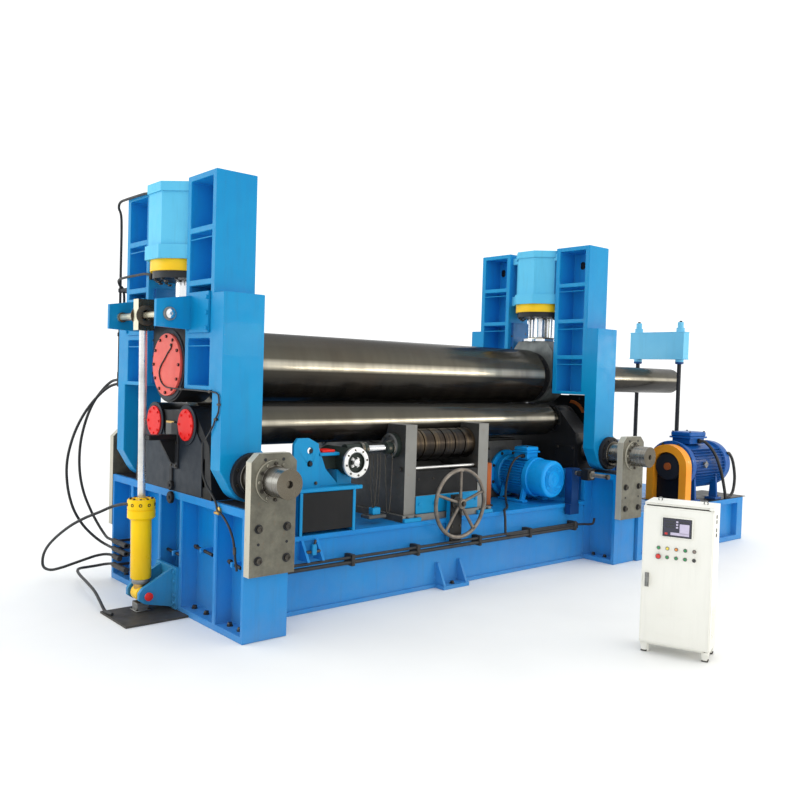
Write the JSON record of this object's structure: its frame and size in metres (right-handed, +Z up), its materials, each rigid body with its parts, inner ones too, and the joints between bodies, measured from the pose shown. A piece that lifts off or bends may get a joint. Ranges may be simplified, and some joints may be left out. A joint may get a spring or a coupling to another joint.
{
  "type": "three-roll plate bending machine",
  "caption": "Heavy plate bending machine with an adjustable upper roll, a tipping left stand, press cylinders and a separate control cabinet.",
  "frame": {"origin": "on the floor, midway between the two cross shafts and on the rolls' middle plane", "axes": "+X along the rolls towards the drive end, -Y towards the operator's side, +Z up"},
  "size_m": [6.4999, 3.9898, 2.8],
  "materials": {
    "blue_paint": "satin",
    "dark_paint": "satin",
    "raw_steel": "matte",
    "roll_steel": "brushed",
    "chrome": "polished",
    "red_paint": "satin",
    "yellow_paint": "satin",
    "orange_paint": "satin",
    "white_paint": "satin",
    "black_rubber": "matte"
  },
  "bodies": {
    "base": {"long_beam": "blue_paint", "left_base": "blue_paint", "right_base": "blue_paint", "slide_plates": "dark_paint", "shaft_plates": "raw_steel", "cross_shafts": "chrome", "left_lower_housing": "dark_paint", "right_lower_housing": "dark_paint", "lower_roll_covers": "red_paint", "support_frame": "raw_steel", "adjuster_table": "blue_paint", "adjuster_drive": "dark_paint", "auxiliary_motor": "blue_paint", "auxiliary_gearbox": "raw_steel", "beam_conduit": "black_rubber", "shift_rod": "chrome", "drive_base": "blue_paint", "main_gearbox": "blue_paint", "main_motor": "blue_paint", "belt_guard": "orange_paint", "balance_posts": "dark_paint", "tipping_bracket": "blue_paint", "tipping_foot": "dark_paint", "cabinet_body": "white_paint", "hose_sleeves": "dark_paint", "barrel_hose": "black_rubber", "floor_hose": "black_rubber"},
    "carriage": {"right_front_column": "blue_paint", "right_rear_column": "blue_paint", "right_cylinder_housing": "blue_paint", "right_gland": "yellow_paint", "shaft_collars": "dark_paint", "frame_hose_a": "black_rubber", "frame_hose_b": "black_rubber"},
    "left_stand": {"left_front_column": "blue_paint", "left_rear_column": "blue_paint", "left_cylinder_housing": "blue_paint", "left_gland": "yellow_paint", "tipping_arms": "blue_paint", "frame_pipes": "black_rubber"},
    "left_bearing": {"left_block": "raw_steel", "left_piston": "chrome", "left_block_cover": "red_paint"},
    "right_bearing": {"right_block": "raw_steel", "right_piston": "chrome"},
    "upper_roll": {"upper_roll": "roll_steel"},
    "front_roll": {"lower_front_roll": "roll_steel"},
    "rear_roll": {"lower_rear_roll": "roll_steel"},
    "front_roller": {"front_support_roller": "roll_steel"},
    "rear_roller": {"rear_support_roller": "roll_steel"},
    "handwheel": {"handwheel": "raw_steel"},
    "tipping_cylinder": {"tipping_barrel": "yellow_paint"},
    "tipping_rod": {"tipping_rod": "chrome"},
    "balance_beam": {"balance_beam": "blue_paint"},
    "cabinet_door": {"cabinet_door": "white_paint"}
  },
  "joints": [
    {"name": "roll_shift", "type": "slide", "parent": "base", "child": "carriage", "axis": [0, 1, 0], "range_m": [-0.08, 0.08]},
    {"name": "stand_tip", "type": "hinge", "parent": "carriage", "child": "left_stand", "pos_m": [-1.833, 0, 0.955], "axis": [0, -1, 0], "range_deg": [0, 45]},
    {"name": "roll_lift", "type": "slide", "parent": "carriage", "child": "right_bearing", "axis": [0, 0, 1], "range_m": [0, 0.14]},
    {"name": "left_block_lift", "type": "slide", "parent": "left_stand", "child": "left_bearing", "axis": [0, 0, 1], "range_m": [0, 0.14]},
    {"name": "upper_roll_turn", "type": "hinge", "parent": "right_bearing", "child": "upper_roll", "pos_m": [0, 0, 1.62], "axis": [1, 0, 0], "continuous": true},
    {"name": "balance_lift", "type": "slide", "parent": "base", "child": "balance_beam", "axis": [0, 0, 1], "range_m": [0, 0.14]},
    {"name": "front_roll_turn", "type": "hinge", "parent": "base", "child": "front_roll", "pos_m": [0, -0.235, 1.235], "axis": [1, 0, 0], "continuous": true},
    {"name": "rear_roll_turn", "type": "hinge", "parent": "base", "child": "rear_roll", "pos_m": [0, 0.235, 1.235], "axis": [1, 0, 0], "continuous": true},
    {"name": "front_roller_turn", "type": "hinge", "parent": "base", "child": "front_roller", "pos_m": [0, -0.452, 1.072], "axis": [1, 0, 0], "continuous": true},
    {"name": "rear_roller_turn", "type": "hinge", "parent": "base", "child": "rear_roller", "pos_m": [0, 0.452, 1.072], "axis": [1, 0, 0], "continuous": true},
    {"name": "handwheel_turn", "type": "hinge", "parent": "base", "child": "handwheel", "pos_m": [0.01, -0.74, 0.64], "axis": [0, 1, 0], "continuous": true},
    {"name": "cylinder_swing", "type": "hinge", "parent": "base", "child": "tipping_cylinder", "pos_m": [-2.178, 0, 0.125], "axis": [0, -1, 0], "range_deg": [0, 24.93]},
    {"name": "rod_stroke", "type": "slide", "parent": "tipping_cylinder", "child": "tipping_rod", "axis": [0.0111, 0, -0.9999], "range_m": [0, 0.4085]},
    {"name": "cabinet_door_swing", "type": "hinge", "parent": "base", "child": "cabinet_door", "pos_m": [-0.01338, -2.77478, 0.45], "axis": [0, 0, 1], "range_deg": [0, 110]}
  ],
  "couplings": [
    {"joint": "left_block_lift", "follows": "roll_lift", "ratio": 1},
    {"joint": "balance_lift", "follows": "roll_lift", "ratio": 1},
    {"joint": "rear_roll_turn", "follows": "front_roll_turn", "ratio": 1},
    {"joint": "cylinder_swing", "follows": "stand_tip", "ratio": 0.554},
    {"joint": "rod_stroke", "follows": "stand_tip", "m_per_rad": 0.52}
  ]
}
